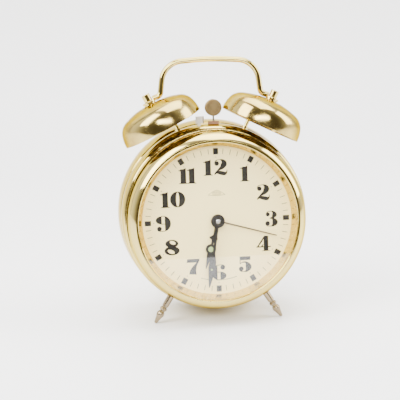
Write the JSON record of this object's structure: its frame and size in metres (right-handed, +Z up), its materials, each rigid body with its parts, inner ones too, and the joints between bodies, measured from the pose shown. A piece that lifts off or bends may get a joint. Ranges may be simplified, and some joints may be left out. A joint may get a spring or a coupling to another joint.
{
  "type": "alarm clock",
  "caption": "Wind-up alarm clock: round gold case, cream dial and hands, bells on top with a swinging hammer, a wire handle, turned front feet, winding keys and setting knobs behind.",
  "frame": {"origin": "centre of the overall box at the level of the feet and the rear rim that it stands on", "axes": "+Z up, -Y the way the dial faces (leant back), +X to the right of the dial"},
  "size_m": [0.1244, 0.0776, 0.1673],
  "materials": {
    "gold_plate": "polished gold plate",
    "gold_satin": "satin gold",
    "bell_gold": "polished, aged gold plate",
    "crystal": "clear",
    "dial_paint": "satin cream",
    "nickel": "warm nickel",
    "black_enamel": "gloss black",
    "bright_brass": "polished",
    "aged_brass": "aged",
    "steel": "plain",
    "spring_steel": "blued",
    "train_brass": "plain"
  },
  "bodies": {
    "case": {"case_body": "gold_plate", "bezel": "gold_plate", "crystal": "crystal", "reflector_ring": "gold_satin", "dial": "dial_paint", "back_cover": "gold_plate", "back_cover_screws": "steel", "front_foot_left": "nickel", "front_foot_right": "nickel", "foot_nuts": "steel", "bell_left": "bell_gold", "bell_right": "bell_gold", "bell_post_left": "gold_plate", "bell_post_right": "gold_plate", "bell_post_nuts": "steel", "bell_washers": "gold_plate", "knob_nut_left": "gold_plate", "knob_nut_right": "gold_plate", "carrying_handle": "gold_plate", "hammer_guard": "aged_brass", "stop_lever_pivot": "steel", "front_plate": "train_brass", "back_plate": "train_brass", "pillars": "train_brass", "pillar_nuts": "steel", "dial_feet": "train_brass", "hairspring": "spring_steel", "time_mainspring": "spring_steel", "alarm_mainspring": "spring_steel", "regulator_boss": "train_brass"},
    "minute_hand": {"minute_hand": "black_enamel", "hand_nut": "steel", "centre_arbor": "steel", "cannon_pinion": "train_brass", "time_set_knob": "bright_brass"},
    "hour_hand": {"hour_hand": "black_enamel", "hour_wheel": "train_brass"},
    "minute_wheel": {"minute_wheel": "train_brass"},
    "alarm_hand": {"alarm_hand": "aged_brass", "alarm_wheel": "train_brass"},
    "alarm_set_knob": {"alarm_set_arbor": "steel", "alarm_set_knob": "bright_brass"},
    "time_winding_key": {"time_winding_arbor": "steel", "time_winding_key": "bright_brass"},
    "alarm_winding_key": {"alarm_winding_arbor": "steel", "alarm_winding_key": "bright_brass"},
    "time_main_wheel": {"time_main_wheel": "train_brass"},
    "centre_wheel": {"centre_wheel": "train_brass"},
    "third_wheel": {"third_wheel": "train_brass"},
    "fourth_wheel": {"fourth_wheel": "train_brass"},
    "escape_wheel": {"escape_wheel": "train_brass"},
    "pallet_fork": {"pallet_fork": "steel"},
    "balance_wheel": {"balance_wheel": "train_brass"},
    "alarm_main_wheel": {"alarm_main_wheel": "train_brass"},
    "strike_wheel": {"strike_wheel": "train_brass"},
    "hammer": {"hammer_head": "aged_brass", "hammer_arm": "steel"},
    "alarm_stop_lever": {"alarm_stop_lever": "nickel"},
    "regulator_lever": {"regulator_lever": "steel"}
  },
  "joints": [
    {"name": "minute_hand_turn", "type": "hinge", "parent": "case", "child": "minute_hand", "pos_m": [0, -0.00608, 0.06481], "axis": [0, 0.9941, -0.1083], "continuous": true},
    {"name": "hour_hand_turn", "type": "hinge", "parent": "case", "child": "hour_hand", "pos_m": [0, -0.00608, 0.06481], "axis": [0, 0.9941, -0.1083], "continuous": true},
    {"name": "minute_wheel_turn", "type": "hinge", "parent": "case", "child": "minute_wheel", "pos_m": [-0.012, -0.00608, 0.06481], "axis": [0, 0.9941, -0.1083], "continuous": true},
    {"name": "alarm_hand_turn", "type": "hinge", "parent": "case", "child": "alarm_hand", "pos_m": [0, -0.00608, 0.06481], "axis": [0, 0.9941, -0.1083], "continuous": true},
    {"name": "alarm_knob_turn", "type": "hinge", "parent": "case", "child": "alarm_set_knob", "pos_m": [0.01157, -0.00458, 0.07852], "axis": [0, 0.9941, -0.1083], "continuous": true},
    {"name": "time_winding", "type": "hinge", "parent": "case", "child": "time_winding_key", "pos_m": [-0.01527, -0.00773, 0.04963], "axis": [0, 0.9941, -0.1083], "range_deg": [0, 1890]},
    {"name": "alarm_winding", "type": "hinge", "parent": "case", "child": "alarm_winding_key", "pos_m": [0.021, -0.00727, 0.05387], "axis": [0, 0.9941, -0.1083], "range_deg": [0, 1530]},
    {"name": "escape_turn", "type": "hinge", "parent": "case", "child": "escape_wheel", "pos_m": [-0.02909, -0.00455, 0.0788], "axis": [0, 0.9941, -0.1083], "continuous": true},
    {"name": "fourth_turn", "type": "hinge", "parent": "case", "child": "fourth_wheel", "pos_m": [-0.01935, -0.00381, 0.08559], "axis": [0, 0.9941, -0.1083], "continuous": true},
    {"name": "third_turn", "type": "hinge", "parent": "case", "child": "third_wheel", "pos_m": [-0.00581, -0.00435, 0.08069], "axis": [0, 0.9941, -0.1083], "continuous": true},
    {"name": "centre_wheel_turn", "type": "hinge", "parent": "case", "child": "centre_wheel", "pos_m": [0, -0.00608, 0.06481], "axis": [0, 0.9941, -0.1083], "continuous": true},
    {"name": "time_main_turn", "type": "hinge", "parent": "case", "child": "time_main_wheel", "pos_m": [-0.01527, -0.00773, 0.04963], "axis": [0, 0.9941, -0.1083], "continuous": true},
    {"name": "pallet_rock", "type": "hinge", "parent": "case", "child": "pallet_fork", "pos_m": [-0.02795, -0.00526, 0.07234], "axis": [0, 0.9941, -0.1083], "range_deg": [-2, 2]},
    {"name": "balance_swing", "type": "hinge", "parent": "case", "child": "balance_wheel", "pos_m": [-0.03397, -0.00619, 0.06379], "axis": [0, 0.9941, -0.1083], "range_deg": [-160, 160], "stiffness_Nm_per_rad": 0.000012},
    {"name": "strike_turn", "type": "hinge", "parent": "case", "child": "strike_wheel", "pos_m": [0.01943, -0.00533, 0.0717], "axis": [0, 0.9941, -0.1083], "continuous": true},
    {"name": "alarm_main_turn", "type": "hinge", "parent": "case", "child": "alarm_main_wheel", "pos_m": [0.021, -0.00727, 0.05387], "axis": [0, 0.9941, -0.1083], "continuous": true},
    {"name": "hammer_swing", "type": "hinge", "parent": "case", "child": "hammer", "pos_m": [0.008, -0.00326, 0.09066], "axis": [0, 0.9941, -0.1083], "range_deg": [-3.8, 0.6]},
    {"name": "alarm_stop_swing", "type": "hinge", "parent": "case", "child": "alarm_stop_lever", "pos_m": [-0.0083, -0.00174, 0.10457], "axis": [0, 0.9941, -0.1083], "range_deg": [0, 6.5]},
    {"name": "regulator_swing", "type": "hinge", "parent": "case", "child": "regulator_lever", "pos_m": [-0.03397, -0.00619, 0.06379], "axis": [0, 0.9941, -0.1083], "range_deg": [-20, 20]}
  ],
  "couplings": [
    {"joint": "hour_hand_turn", "follows": "minute_hand_turn", "ratio": 0.083333},
    {"joint": "minute_wheel_turn", "follows": "minute_hand_turn", "ratio": -0.33333},
    {"joint": "alarm_knob_turn", "follows": "alarm_hand_turn", "ratio": -4},
    {"joint": "fourth_turn", "follows": "escape_turn", "ratio": -0.13333},
    {"joint": "third_turn", "follows": "escape_turn", "ratio": 0.016667},
    {"joint": "centre_wheel_turn", "follows": "escape_turn", "ratio": -0.0022222},
    {"joint": "time_main_turn", "follows": "escape_turn", "ratio": 0.00044444},
    {"joint": "alarm_main_turn", "follows": "strike_turn", "ratio": -0.2}
  ]
}
